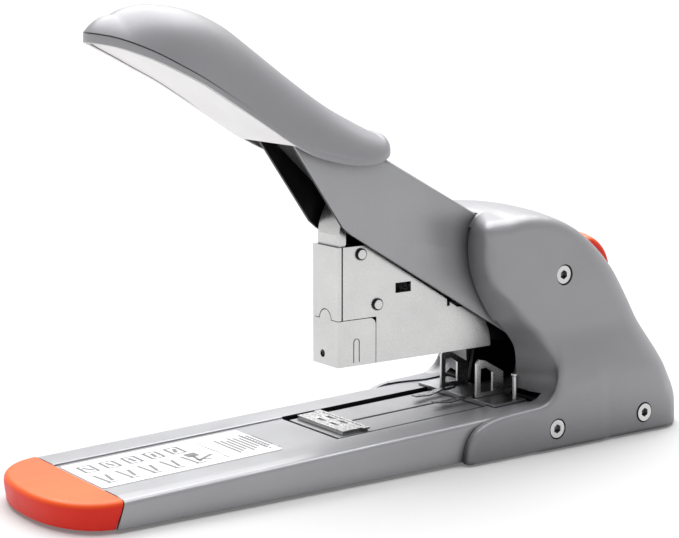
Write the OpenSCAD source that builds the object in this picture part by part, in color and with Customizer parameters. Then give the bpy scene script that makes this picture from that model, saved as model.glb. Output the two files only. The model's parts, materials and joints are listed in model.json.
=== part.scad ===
// Heavy-duty bench stapler: long steel base with an anvil, a nickel staple magazine,
// a channel arm with a moulded grip, and a rear housing that holds both pivots.
// +Z is up, the nose points to -Y, and the origin is under the middle of the stapler.

/* [Base] */
// Width of the steel base channel
base_w = 75; // [70:1:80]
// Height of the base top at the nose seam
base_h = 10.7; // [9:0.1:13]
// Length of the base channel behind the nose seam
base_l = 272; // [266:1:276]
// Length of the nose cap in front of the seam
nose_l = 24; // [18:1:30]
// Upward slope of the base top towards the rear, in degrees
base_slope = 2; // [1.5:0.1:2.2]
// Thickness of the base sheet
base_t = 1.5; // [1.2:0.1:2]
// Height of the rubber feet under the base edge
foot_h = 1.5; // [1:0.1:3]

/* [Anvil] */
// Distance from the nose seam to the middle of the anvil plate
anvil_y = 117; // [112:0.5:119]
// Width of the anvil plate
anvil_w = 33; // [28:0.5:36]
// Width of the sprung tongue that carries the anvil
tongue_w = 36; // [34:0.5:38]

/* [Magazine] */
// Outer width of the magazine channel
mag_w = 17.8; // [17.4:0.1:18.6]
// Sheet thickness of the magazine side plates
mag_t = 1; // [0.8:0.1:1.2]
// Crown width of the staples
staple_w = 13; // [12.6:0.1:13.2]
// Height of the drawer head, which sets the longest staple leg
drawer_h = 19.1; // [18:0.1:19.3]

/* [Handle] */
// Outer width of the channel arm
arm_w = 26; // [25:0.5:27]
// Sheet thickness of the channel arm
arm_t = 2; // [1.5:0.1:2.4]
// Largest width of the grip
grip_w = 41; // [38:0.5:46]
// Wall thickness of the grip shell
grip_t = 2.5; // [2:0.1:3]

/* [Housing] */
// Width of the housing skirt
skirt_w = 84; // [82:0.5:88]
// Width of the upper part of the housing
waist_w = 68; // [64:0.5:72]
// Wall thickness of the housing
wall = 2.5; // [2:0.1:3]
// Radius of the rear corners of the housing
corner_r = 22; // [16:0.5:28]

/* [Pivots] */
// Radius of the handle pivot pin
handle_pin_r = 4; // [3:0.1:5]
// Radius of the magazine pivot pin
mag_pin_r = 3; // [2.5:0.1:4]
// Radial running clearance of the pivots
run = 0.06; // [0.03:0.01:0.09]

/* [Hidden] */
$fn = 48;

// Places in the side view are [y, z]: y from the nose seam, z from the base's lower edge.
housing_rear = 286;
datum_y = (nose_l - housing_rear) / 2;
handle_pivot = [213, 72];
mag_pivot = [226, 44];
mag_front = 113.3;
mag_floor = 39.6;
drawer_gap = 0.3;
drawer_top = mag_floor + drawer_h;
drawer_end = 132.3;
recess_w = 42;
recess_d = 1;
frame_in = arm_w / 2 + 1.2;
frame_t = 2;
skirt_gap = 0.4;
button_at = [251.4, 73];
button_tilt = -50;
screw_points = [[213, 72], [203.5, 8], [254.5, 8]];
// Rivet places on the base top, as [x, y]; each has a twin at -x.
tongue_rivet_points = [[9, 261]];
frame_rivet_points = [[26.5, 212], [26.5, 240]];
// Cross pins of the driver lever and screws of the grip, on the arm.
lever_pin_points = [[101, 130], [113, 126.8]];
grip_screw_points = [[104, 141.4], [124, 130.2]];

// ---- outline helpers --------------------------------------------------------------

// Points on an arc about c, from angle a to angle b.
function arc(c, r, a, b, n = 8) =
    [for (i = [0:n]) c + r * [cos(a + (b - a) * i / n), sin(a + (b - a) * i / n)]];

// Points on a cubic curve between p and s, pulled by q and r.
function curve(p, q, r, s, n = 8) =
    [for (i = [0:n]) let (t = i / n, u = 1 - t)
        u * u * u * p + 3 * u * u * t * q + 3 * u * t * t * r + t * t * t * s];

// Moves children from the seam frame to the part's own frame.
module datum() {
    translate([0, datum_y, foot_h]) children();
}

// Extrudes a side-view outline across the stapler, over the given width.
module across(w, middle = 0) {
    translate([middle - w / 2, 0, 0]) rotate([90, 0, 90]) linear_extrude(w) children();
}

// Two mirrored plates with the side-view outline, between inner and outer half widths.
module both_sides(inner, outer) {
    for (s = [-1, 1]) across(outer - inner, s * (inner + outer) / 2) children();
}

// A round bar along X at a side-view point.
module bar(at, r, w, middle = 0) {
    translate([middle - w / 2, at[0], at[1]]) rotate([0, 90, 0]) cylinder(r = r, h = w);
}

// Frame on the sloping base top: local z = 0 is the outer top face of the rails.
module on_top() {
    translate([0, 0, base_h]) rotate([base_slope, 0, 0]) children();
}

// A box given by its lowest and highest corners.
module block(low, high) {
    translate(low) cube(high - low);
}

// A helical wire coil along +Z with its lower end at z = 0.
module coil(r, wire, length, turns, sides = 8, per_turn = 12) {
    steps = turns * per_turn;
    rise = length / steps;
    points = [for (i = [0:steps], k = [0:sides - 1])
        let (a = 360 * i / per_turn, b = 360 * k / sides, q = r + wire * cos(b))
        [q * cos(a), q * sin(a), rise * i + wire * sin(b)]];
    skin = [for (i = [0:steps - 1], k = [0:sides - 1])
        let (j = (k + 1) % sides)
        [i * sides + k, i * sides + j, (i + 1) * sides + j, (i + 1) * sides + k]];
    first = [[for (k = [0:sides - 1]) sides - 1 - k]];
    last = [[for (k = [0:sides - 1]) steps * sides + k]];
    polyhedron(points, concat(skin, first, last), convexity = 10);
}

// ---- base -------------------------------------------------------------------------

// Section of the folded channel, in the frame of the base top, with deep walls to trim.
module channel_section() {
    bend = 2.5;
    half = base_w / 2;
    depth = 24;
    difference() {
        polygon(concat([[half, -depth]], arc([half - bend, -bend], bend, 0, 90, 5),
            arc([-half + bend, -bend], bend, 90, 180, 5), [[-half, -depth]]));
        translate([-half + base_t, -depth - 1]) square([base_w - 2 * base_t, depth + 1 - base_t]);
        translate([-recess_w / 2, -recess_d]) square([recess_w, 3]);
    }
    translate([-recess_w / 2 - base_t, -recess_d - base_t])
        square([recess_w + 2 * base_t, base_t]);
}

module base_channel() {
    opening_y = 106;
    opening_l = 146;
    color("silver") datum() difference() {
        on_top() translate([0, base_l, 0]) rotate([90, 0, 0])
            linear_extrude(base_l + 6) channel_section();
        block([-base_w, -10, -30], [base_w, base_l + 10, 0]);
        across(base_w + 2) polygon([[-20, -3], [-4.1, -3], [0, base_h], [0, base_h + 3],
            [-20, base_h + 3]]);
        on_top() block([-recess_w / 2, opening_y, -6], [recess_w / 2, opening_y + opening_l, 2]);
        on_top() for (p = concat(tongue_rivet_points, frame_rivet_points), s = [-1, 1])
            translate([s * p[0], p[1], -6]) cylinder(r = 2, h = 8);
        for (p = screw_points) if (p[1] < 20) bar(p, 2.1, base_w + 2);
    }
}

module bottom_plate() {
    half = base_w / 2 - base_t - 0.15;
    color("dimgray") datum() {
        difference() {
            block([-half, 3, 0.2], [half, base_l - 2, 1.8]);
            block([-half + 6, 20, 0.8], [half - 6, base_l - 20, 2]);
        }
        for (y = [60, 130, 190]) block([-half, y, 0.2], [half, y + 2, 4.5]);
    }
}

module rubber_feet() {
    color("black") datum() for (x = [-26, 26], y = [16, 258])
        translate([x, y, -foot_h]) cylinder(r = 7, h = foot_h + 0.2);
}

// Plan outline of the nose: a soft D that starts at the seam.
module nose_outline(inset = 0) {
    half = base_w / 2 - inset;
    depth = nose_l - inset;
    power = 2.25;
    polygon(concat([for (i = [0:24]) let (a = -90 + 180 * i / 24)
        [half * sign(sin(a)) * pow(abs(sin(a)), 2 / power),
            -depth * pow(cos(a), 2 / power)]], [[half, 8], [-half, 8]]));
}

module nose_cap() {
    seam = [[-40, -3], [-4.4, -3], [-0.3, base_h], [-0.3, base_h + 3], [-40, base_h + 3]];
    color("orangered") datum() {
        difference() {
            intersection() {
                linear_extrude(base_h + 2) nose_outline();
                across(base_w + 2) polygon(seam);
                on_top() block([-50, -40, -20], [50, 10, 0]);
            }
            difference() {
                translate([0, 0, -1]) linear_extrude(base_h + 2) nose_outline(2.2);
                on_top() block([-50, -50, -2.2], [50, 20, 9]);
            }
        }
        for (s = [-1, 1]) block([s * 28 - 5, -6, 4], [s * 28 + 5, 12, 8.6]);
    }
}

module label_plate() {
    color("white") datum() on_top()
        block([-19, 1.5, -recess_d], [17, 88, -recess_d + 0.25]);
}

// ---- anvil ------------------------------------------------------------------------

module anvil_tongue() {
    half = tongue_w / 2;
    color("gainsboro") datum() on_top() difference() {
        union() {
            block([-half, 107.5, -recess_d - 1.5], [half, 250, -recess_d]);
            block([-half, 247.5, -recess_d - 3.2], [half, 250, -recess_d]);
            block([-half, 247.5, -recess_d - 3.2], [half, 268, -recess_d - 1.7]);
        }
        block([-0.9, 126, -5], [0.9, 232, 1]);
        for (p = tongue_rivet_points, s = [-1, 1]) translate([s * p[0], p[1], -6]) cylinder(r = 2, h = 8);
    }
}

// The hardened plate, with a pair of curved pockets that turn the staple legs in.
module anvil_plate() {
    half = anvil_w / 2;
    color("ghostwhite") datum() on_top() difference() {
        union() {
            block([-half, anvil_y - 6.5, -recess_d], [half, anvil_y + 6, 0.9]);
            block([-half - 1.4, anvil_y + 3, 0.1], [half + 1.4, anvil_y + 6, 0.9]);
        }
        for (s = [-1, 1], y = [-2.5, 2]) translate([s * 4.4, anvil_y + y, 3.4])
            rotate([90, 0, 0]) translate([0, 0, -0.8]) cylinder(r = 4, h = 1.6);
        block([-half + 2, anvil_y + 4.2, 0.5], [half - 2, anvil_y + 4.7, 2]);
    }
}

module tongue_rivets() {
    color("silver") datum() on_top() for (p = tongue_rivet_points, s = [-1, 1])
        translate([s * p[0], p[1], 0]) {
        translate([0, 0, -5]) cylinder(r = 1.95, h = 4);
        translate([0, 0, -5]) cylinder(r = 3.4, h = 0.8);
        translate([0, 0, -recess_d]) cylinder(r = 3.2, h = 0.9);
    }
}

// ---- frame ------------------------------------------------------------------------

module frame_outline() {
    difference() {
        polygon(concat([[201, 18.6], [206, 46]], arc(handle_pivot, 10, 170, 40),
            [[236, 74], [246, 68], [250, 58], [246, 20.2]]));
        translate(handle_pivot) circle(r = handle_pin_r + 0.02);
        translate(mag_pivot) circle(r = mag_pin_r + 0.02);
    }
}

// One side plate with a foot flange that is riveted to the base top.
module side_frame(s) {
    color("gray") datum() {
        across(frame_t, s * (frame_in + frame_t / 2)) frame_outline();
        on_top() difference() {
            block([min(s * (frame_in + 1), s * 31), 200, 0], [max(s * (frame_in + 1), s * 31), 247, 2]);
            for (p = frame_rivet_points) translate([s * p[0], p[1], -1]) cylinder(r = 2, h = 4);
        }
    }
}

module side_frame_left() {
    side_frame(-1);
}

module side_frame_right() {
    side_frame(1);
}

module frame_rivets() {
    color("silver") datum() on_top() for (p = frame_rivet_points, s = [-1, 1])
        translate([s * p[0], p[1], 0]) {
        translate([0, 0, -2.8]) cylinder(r = 1.95, h = 5);
        translate([0, 0, 2]) cylinder(r = 3.4, h = 1.4);
        translate([0, 0, -2.9]) cylinder(r = 3.4, h = 1.4);
    }
}

module frame_spacer() {
    color("silver") datum() difference() {
        bar([242, 30], 4, 2 * frame_in);
        bar([242, 30], 2.1, 2 * frame_in + 2);
    }
}

module handle_pivot_pin() {
    color("silver") datum() difference() {
        bar(handle_pivot, handle_pin_r, 2 * (waist_w / 2 - 6.2));
        bar(handle_pivot, 2.1, 14, waist_w / 2 - 6.2);
        bar(handle_pivot, 2.1, 14, -waist_w / 2 + 6.2);
    }
}

module magazine_pivot_pin() {
    length = 2 * (frame_in + frame_t);
    color("silver") datum() {
        bar(mag_pivot, mag_pin_r, length);
        for (s = [-1, 1]) bar(mag_pivot, mag_pin_r + 1.5, 1.2, s * (length / 2 + 0.6));
    }
}

// Thin washers between the arm and the side plates.
module pivot_bushes() {
    gap = frame_in - arm_w / 2;
    color("goldenrod") datum() for (s = [-1, 1]) difference() {
        bar(handle_pivot, 6.5, gap - 0.2, s * (frame_in - gap / 2));
        bar(handle_pivot, handle_pin_r, gap + 2, s * (frame_in - gap / 2));
    }
}

// Torsion spring on the handle pivot that lifts the handle back to its open position.
module handle_spring() {
    length = 12;
    color("silver") datum() translate([-length / 2, handle_pivot[0], handle_pivot[1]])
        rotate([0, 90, 0]) coil(5.8, 0.8, length, 6);
}

// ---- housing ----------------------------------------------------------------------

// Side view of the housing body, moved inwards by the wall for the cavity.
module housing_side(inset = 0) {
    i = inset;
    polygon(concat(
        [[170 + i, 94]],
        curve([174 + i, 99.4 - i], [177, 99.4 - i], [180, 99.5 - i], [184, 99.7 - i], 4),
        curve([184, 99.7 - i], [202.5, 103.6 - i], [222.8 - i / 2, 96.2 - i], [237.8 - i / 2, 84.1 - i]),
        curve([237.8 - i / 2, 84.1 - i], [252.8 - i, 72 - i], [255.9 - i, 64.2], [270 - i, 39]),
        curve([270 - i, 39], [284.1 - i, 13.8], [285.6 - i, 21.6], [286 - i, 0.4]),
        [[207 + i, 0.4]],
        curve([208 + i, 22], [209 + i, 40], [196 + i, 50], [184 + i, 62]),
        curve([184 + i, 62], [172 + i, 72], [171 + i, 80], [170 + i, 94])));
}

// Front view: a wide skirt that draws in to a narrower body with soft shoulders.
module housing_front(inset = 0) {
    i = inset;
    waist = waist_w / 2 - i;
    skirt = skirt_w / 2 - i;
    right = concat([[skirt, 0]], curve([skirt, 20], [skirt - 0.5, 38], [waist + 1, 36], [waist, 60]),
        curve([waist, 60], [waist, 84], [waist - 2, 102 - i], [0, 102 - i], 10));
    polygon(concat(right, [for (k = [len(right) - 2:-1:0]) [-right[k][0], right[k][1]]]));
}

// Plan view with round rear corners.
module housing_plan(inset = 0) {
    i = inset;
    half = skirt_w / 2 - i;
    r = corner_r - i;
    polygon(concat([[-half, 150], [half, 150]],
        arc([half - r, housing_rear - i - r], r, 0, 90),
        arc([-half + r, housing_rear - i - r], r, 90, 180)));
}

module housing_solid(inset = 0) {
    intersection() {
        across(skirt_w + 2) housing_side(inset);
        translate([0, 300, 0]) rotate([90, 0, 0]) linear_extrude(150) housing_front(inset);
        translate([0, 0, -1]) linear_extrude(110) housing_plan(inset);
    }
}

// Toes that reach forward along both sides of the base.
module housing_toes() {
    both_sides(base_w / 2 + skirt_gap, skirt_w / 2) polygon(concat([[215, 0.4], [155.5, 0.4]],
        curve([155.5, 0.4], [155.8, 12], [166, 18.5], [208, 24]), [[215, 24]]));
}

module housing() {
    slot = frame_in + 1;
    seat = waist_w / 2 - 4;
    color("darkgray") datum() difference() {
        union() {
            difference() {
                housing_solid();
                intersection() {
                    housing_solid(wall);
                    translate([0, 0, -5]) cube([200, 800, 400], center = true);
                }
                translate([0, 0, -1]) linear_extrude(2.5) housing_plan(wall);
            }
            housing_toes();
            for (s = [-1, 1]) bar(handle_pivot, 8, 8, s * (seat - 1));
        }
        across(2 * slot) polygon([[140, 10], [205, 10], [205, 60], [197, 95], [184, 99.4],
            [184, 110], [140, 110]]);
        block([-slot - 1.8, 190, 10], [slot + 1.8, 216, 64]);
        block([-31, 140, 10], [31, 216, 24]);
        block([-base_w / 2 - skirt_gap, 140, -1], [base_w / 2 + skirt_gap, base_l + 0.5, 20.5]);
        for (s = [-1, 1]) bar(handle_pivot, 5, 10, s * (waist_w / 2 + 1.6));
        for (s = [-1, 1]) bar(handle_pivot, handle_pin_r, 30, s * (waist_w / 2 - 21.1));
        bar(handle_pivot, 2.2, waist_w + 4);
        for (p = [screw_points[1], screw_points[2]]) {
            bar(p, 2.2, skirt_w + 4);
            for (s = [-1, 1]) bar(p, 5, 6, s * skirt_w / 2);
        }
        button_frame() block([-12.4, -10.4, -8], [12.4, 10.4, 8]);
    }
}

// Frame on the rear slope: local z points out of the housing along the button's travel.
module button_frame() {
    translate([0, button_at[0], button_at[1]]) rotate([button_tilt, 0, 0]) children();
}

// Six socket-head screws: two hold the handle pivot, four clamp the skirt to the base.
module socket_screw(shank) {
    difference() {
        union() {
            cylinder(r = 3.9, h = 2.8);
            translate([0, 0, -shank]) cylinder(r = 2, h = shank + 1);
        }
        translate([0, 0, 1]) cylinder(r = 2, h = 3, $fn = 6);
    }
}

module housing_screws() {
    color("silver") datum() for (p = screw_points, s = [-1, 1]) {
        upper = p[1] > 20;
        seat = upper ? waist_w / 2 - 3.4 : skirt_w / 2 - 3;
        translate([s * seat, p[0], p[1]]) rotate([0, s * 90, 0]) socket_screw(upper ? 8 : 6);
    }
}

module button_bracket() {
    color("gray") datum() button_frame() difference() {
        block([-frame_in, -8, -16], [frame_in, 6, -14.4]);
        translate([0, 0, -20]) cylinder(r = 3, h = 10);
    }
}

// ---- handle -----------------------------------------------------------------------

// Side view of the arm; its long edges slope at the same angle.
module arm_outline() {
    polygon(concat([[88, 134], [113.4, 97.6], [117, 94.6], [200, 44.7]],
        arc([203, 56], 11.7, -105, -20, 5), arc(handle_pivot, 8, -10, 60, 5),
        [[133.6, 124.8], [97, 145.3]]));
}

module handle_arm() {
    color("darkgray") datum() difference() {
        across(arm_w) arm_outline();
        across(arm_w - 2 * arm_t) polygon([[70, 158.2], [199, 85.9], [199, 110], [240, 110],
            [240, 0], [70, 0]]);
        bar(handle_pivot, handle_pin_r + run, arm_w + 2);
        for (p = lever_pin_points) bar(p, 2.02, arm_w + 2);
        for (p = grip_screw_points) screw_frame(p) cylinder(r = 2.2, h = 12, center = true);
    }
}

// Frame at a point on the arm's top face: local z points out of the face.
module screw_frame(at) {
    translate([0, at[0], at[1]]) rotate([-29.3, 0, 0]) children();
}

// The black lever inside the arm that presses the staple driver down.
module driver_lever() {
    half = mag_w / 2 - mag_t - 1.2;
    color("black") datum() difference() {
        union() {
            across(2 * half) polygon([[91, 134], [110, 116], [117.5, 110], [117.5, 106], [125, 106],
                [133, 108], [152, 97], [154, 106], [126, 123], [106, 135], [93, 136]]);
            across(2 * (arm_w / 2 - arm_t) - 0.4) polygon([[87, 133.6], [94, 131.4], [104, 130.6],
                [104, 132.6], [88, 136.4]]);
        }
        for (p = lever_pin_points) bar(p, 2.02, arm_w);
    }
}

module lever_pins() {
    color("silver") datum() for (p = lever_pin_points) bar(p, 2, arm_w - 0.4);
}

// Side view of the grip: a long hump over the fingers that ends in a collar over the arm.
module grip_side(inset = 0) {
    i = inset;
    polygon(concat(
        curve([7 + i, 177.5], [13, 185 - i], [27, 187.4 - i], [37, 187.2 - i]),
        curve([37, 187.2 - i], [62, 186 - i], [88, 160.5 - i], [122, 140.5 - i]),
        curve([122, 140.5 - i], [130, 136.2 - i], [136, 134.6 - i], [141 - i, 134 - i], 5),
        curve([141.5 - i, 129 - i / 2], [136, 122.5], [116, 119], [88, 131.8], 6),
        curve([86, 132.8], [66, 146], [36, 165], [7 + i, 173.2])));
}

// Plan view of the grip: a long rounded tip, straight sides and a blunt rear.
module grip_plan(inset = 0) {
    half = grip_w / 2 - inset;
    right = concat(curve([0, 7.2 + inset], [half * 0.7, 7.2 + inset], [half, 24 + inset], [half, 44], 10),
        [[half, 112]],
        curve([half, 112], [half, 128], [half - 5, 141 - inset], [0, 141 - inset], 8));
    polygon(concat(right, [for (k = [len(right) - 2:-1:1]) [-right[k][0], right[k][1]]]));
}

module grip_solid(inset = 0) {
    intersection() {
        across(grip_w + 2) grip_side(inset);
        translate([0, 0, 100]) linear_extrude(100) grip_plan(inset);
    }
}

module grip_shell() {
    color("darkgray") datum() difference() {
        union() {
            difference() {
                grip_solid();
                grip_solid(grip_t);
                across(grip_w - 2 * grip_t) polygon(concat([[8, 100]],
                    curve([9, 174], [36, 167], [66, 148], [86, 133.5], 6), [[90, 131], [135, 122], [135, 100]]));
            }
            intersection() {
                grip_solid();
                for (p = grip_screw_points) screw_frame(p) cylinder(r = 4, h = 30);
            }
        }
        for (p = grip_screw_points) screw_frame(p) translate([0, 0, -3]) cylinder(r = 1.9, h = 9);
        across(arm_w + 0.6) polygon([[80, 100], [80, 155], [160, 110.1], [160, 100]]);
    }
}

// Pale underside panel that closes the hollow grip over the fingers.
module grip_insert() {
    color("white") datum() intersection() {
        across(grip_w) polygon(concat(curve([9.4, 174.2], [36, 167.4], [66, 148.6], [85, 134.6]),
            [[86, 136.8]], curve([86, 136.8], [66, 151], [37, 170], [11, 176.6])));
        translate([0, 0, 100]) linear_extrude(100) grip_plan(grip_t + 0.15);
    }
}

module grip_screws() {
    color("silver") datum() for (p = grip_screw_points) screw_frame(p) {
        translate([0, 0, -arm_t - 0.1]) cylinder(r = 1.88, h = 8);
        translate([0, 0, -arm_t - 2.2]) cylinder(r = 3.6, h = 2.1);
    }
}

// ---- magazine ---------------------------------------------------------------------

module magazine_side() {
    rear_arc = arc([176, 41], 17.5, 90, 0);
    difference() {
        polygon(concat([[mag_front + 2, mag_floor], [mag_front + 2, 89], [127, 89],
            [169.5, 62.5], [169.5, 59.4], [171, 59.4], [171, 61], [175, 58.5]], rear_arc,
            [[193.5, mag_floor]]));
        translate([mag_front - 5, mag_floor - 5])
            square([drawer_end - mag_front + 5 + drawer_gap, drawer_h + 5 + drawer_gap]);
        translate([142.3, 67.8]) square([8, 4.2]);
    }
}

module magazine_channel() {
    half = mag_w / 2;
    color("gainsboro") datum() {
        both_sides(half - mag_t, half) magazine_side();
        block([-half, 133.2, mag_floor], [half, 192, mag_floor + mag_t]);
    }
}

// Upper front plate; the driver slides down its inner face.
module driver_guide_plate() {
    half = mag_w / 2 - mag_t - 0.2;
    color("ghostwhite") datum() difference() {
        union() {
            block([-half, mag_front, drawer_top + drawer_gap], [half, mag_front + 1.3, 89]);
            for (z = [66, 80]) block([-mag_w / 2, mag_front, z], [mag_w / 2, mag_front + 1.3, z + 4]);
            both_sides(mag_w / 2 - mag_t, mag_w / 2) for (z = [66, 80])
                translate([mag_front, z]) square([2, 4]);
        }
        translate([0, mag_front - 1, drawer_top]) rotate([-90, 0, 0]) cylinder(r = 4.4, h = 2.4);
    }
}

// Inner link that carries the magazine back to its pivot in the housing.
module magazine_carrier() {
    outer = mag_w / 2 - mag_t;
    inner = outer - 1.1;
    color("black") datum() difference() {
        union() {
            both_sides(inner, outer) union() {
                polygon([[140, 61.2], [194, 61.2], [222, 52], [226, 37.2], [196, 41.6], [140, 41.6]]);
                translate(mag_pivot) circle(r = 7);
            }
            block([-outer, 146, 60.1], [outer, 194, 61.2]);
            bar(mag_pivot, 5, 2 * outer);
        }
        bar(mag_pivot, mag_pin_r + run, 2 * outer + 2);
    }
}

// Half-round rivets that join the guide plate, channel and carrier on both sides.
module guide_rivets() {
    color("silver") datum() for (s = [-1, 1], p = [[124.7, 85], [134, 64.5]])
        translate([s * (mag_w / 2), p[0], p[1]]) rotate([0, s * 90, 0]) rotate_extrude()
            polygon([[0, 0], [2, 0], [1.5, 0.5], [0, 0.6]]);
}

// Leaf catch that holds the staple drawer shut until the rear button is pressed.
module drawer_latch() {
    color("silver") datum() across(5) polygon([[195, 60.1], [198, 60.1], [198, 59.3], [193.4, 57.4],
        [193.4, 55], [191.8, 55], [191.8, 58.8], [193, 60.1]]);
}

// The hardened blade that pushes one staple out, with a curved head under the lever.
module staple_driver() {
    front = mag_front + 1.5;
    head_half = mag_w / 2 - mag_t - 0.4;
    color("ghostwhite") datum() {
        block([-staple_w / 2 + 0.1, front, drawer_top + 0.6], [staple_w / 2 - 0.1, front + 1.1, 94]);
        across(2 * head_half) polygon(concat(
            [[front, 86]], arc([front + 24, 92], 24, 180, 147, 6),
            arc([front + 24, 92], 20.5, 140, 180, 6), [[front + 3.5, 90], [front + 1.1, 86]]));
    }
}

// ---- staple drawer ----------------------------------------------------------------

// The drawer's front wraps the lower end of the magazine and slides forward with it.
module drawer_head() {
    half = mag_w / 2;
    color("ghostwhite") datum() difference() {
        union() {
            block([-half, mag_front, mag_floor], [half, drawer_end, drawer_top]);
            translate([0, mag_front, drawer_top]) rotate([-90, 0, 0]) cylinder(r = 4, h = 1.2);
        }
        block([-half + mag_t, mag_front + 1.2, mag_floor + 1], [half - mag_t, 140, 70]);
        block([-half + mag_t, mag_front + 1.2, 30], [half - mag_t, 118, 70]);
        translate([-2, mag_front - 1, mag_floor + 4.5]) rotate([-90, 0, 0]) cylinder(r = 1.6, h = 3);
    }
}

// Inverted channel that the staples ride on.
module staple_rail() {
    half = staple_w / 2 - 1.1;
    floor_z = mag_floor + 1.2;
    top_z = drawer_top - 2.2;
    color("silver") datum() difference() {
        union() {
            difference() {
                block([-half, 116.4, floor_z], [half, 191, top_z]);
                block([-half + 1, 110, floor_z - 1], [half - 1, 188.5, top_z - 1]);
            }
            block([-half - 1, 120, mag_floor + 1], [half + 1, 132, floor_z + 0.5]);
            block([-half, 116.4, floor_z], [half, 118, top_z]);
        }
        block([-1.4, 140, 50], [1.4, 187, 70]);
        translate([0, 110, 49]) rotate([-90, 0, 0]) cylinder(r = 1.25, h = 90);
    }
}

module spring_rod() {
    color("silver") datum() translate([0, 116.8, 49]) rotate([-90, 0, 0]) cylinder(r = 1.2, h = 74);
}

module staple_stick() {
    half = staple_w / 2;
    color("silver") datum() difference() {
        block([-half, 116.6, mag_floor + 2], [half, 158, drawer_top - 0.4]);
        block([-half + 0.8, 110, mag_floor], [half - 0.8, 160, drawer_top - 1.2]);
        block([-half - 1, 119.5, mag_floor], [half + 1, 132.5, mag_floor + 2.4]);
    }
}

// Saddle that pushes the staples forward; a tab reaches the spring inside the rail.
module staple_pusher() {
    half = staple_w / 2;
    color("dimgray") datum() difference() {
        union() {
            difference() {
                block([-half, 158.4, mag_floor + 2], [half, 166, drawer_top - 0.4]);
                block([-half + 0.8, 150, mag_floor], [half - 0.8, 170, drawer_top - 1.8]);
            }
            block([-1.1, 159, 45.5], [1.1, 163, drawer_top - 1]);
            translate([0, 159, 49]) rotate([-90, 0, 0]) cylinder(r = 3.2, h = 4);
        }
        translate([0, 150, 49]) rotate([-90, 0, 0]) cylinder(r = 1.4, h = 20);
    }
}

module pusher_spring() {
    color("silver") datum() translate([0, 163.5, 49]) rotate([-90, 0, 0])
        coil(2.6, 0.45, 24.4, 12, 6, 10);
}

// ---- release button ---------------------------------------------------------------

module release_button() {
    color("orangered") datum() button_frame() {
        intersection() {
            block([-12, -10, -6], [12, 10, 5.5]);
            translate([0, 0, -32.6]) rotate([90, 0, 0]) cylinder(r = 38, h = 30, center = true, $fn = 96);
            translate([0, 0, -24.6]) rotate([0, 90, 0]) cylinder(r = 30, h = 30, center = true, $fn = 96);
        }
        translate([0, 0, -27]) cylinder(r = 2.8, h = 22);
    }
}

module button_spring() {
    color("silver") datum() button_frame() translate([0, 0, -13.9]) coil(4, 0.5, 7.4, 4, 8, 12);
}

// ---- depth stop -------------------------------------------------------------------

// Flat slide that runs along the base top and sets how far the paper goes in.
module stop_slider() {
    color("silver") datum() on_top() {
        block([-26.5, 182, 0.15], [26.5, 199, 1.15]);
        block([-20.5, 182, -0.85], [20.5, 198, 0.15]);
    }
}

// Two upright paper gauges that stand astride the magazine.
module stop_uprights() {
    color("ghostwhite") datum() both_sides(11.5, 12.7) difference() {
        polygon([[183, 18.3], [183, 33.4], [184.6, 35], [187.5, 34.4], [198, 28.4], [198, 18.85]]);
        polygon([[185.4, 20.5], [185.4, 31], [188.5, 31], [192, 28.8], [192, 20.5]]);
    }
}

module stop_posts() {
    color("silver") datum() on_top() for (s = [-1, 1]) translate([s * 24.6, 194.5, 1.15]) {
        cylinder(r = 0.95, h = 11);
        translate([0, 0, 10.4]) cylinder(r = 1.4, h = 1.1);
    }
}

// Leaf that presses the slide against the base so that it stays where it is put.
module stop_leaf_spring() {
    color("silver") datum() on_top() for (s = [-1, 1])
        translate([s * 16.5, 0, 0]) rotate([0, 0, s * 8]) across(3.2)
            polygon([[166, 1.4], [174, 0.4], [181.5, 1.2], [190, 1.2], [190, 1.8], [181.2, 1.8],
                [174, 1], [166, 2]]);
}

// ---- assembly ---------------------------------------------------------------------

base_channel();
bottom_plate();
rubber_feet();
nose_cap();
label_plate();
anvil_tongue();
anvil_plate();
tongue_rivets();
side_frame_left();
side_frame_right();
frame_rivets();
frame_spacer();
handle_pivot_pin();
magazine_pivot_pin();
pivot_bushes();
handle_spring();
housing();
housing_screws();
button_bracket();
handle_arm();
driver_lever();
lever_pins();
grip_shell();
grip_insert();
grip_screws();
magazine_channel();
driver_guide_plate();
magazine_carrier();
guide_rivets();
drawer_latch();
staple_driver();
drawer_head();
staple_rail();
spring_rod();
staple_stick();
staple_pusher();
pusher_spring();
release_button();
button_spring();
stop_slider();
stop_uprights();
stop_posts();
stop_leaf_spring();
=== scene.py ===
"""Looks of the heavy-duty bench stapler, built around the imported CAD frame.

Side-view numbers are [y, z] in millimetres: y from the nose seam, z from the base's lower
edge, and x is the distance from the middle plane. row() turns them into the frame's metres.
"""

import json
import math

import bmesh
import bpy
import numpy as np
from mathutils import Matrix, Vector

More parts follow.
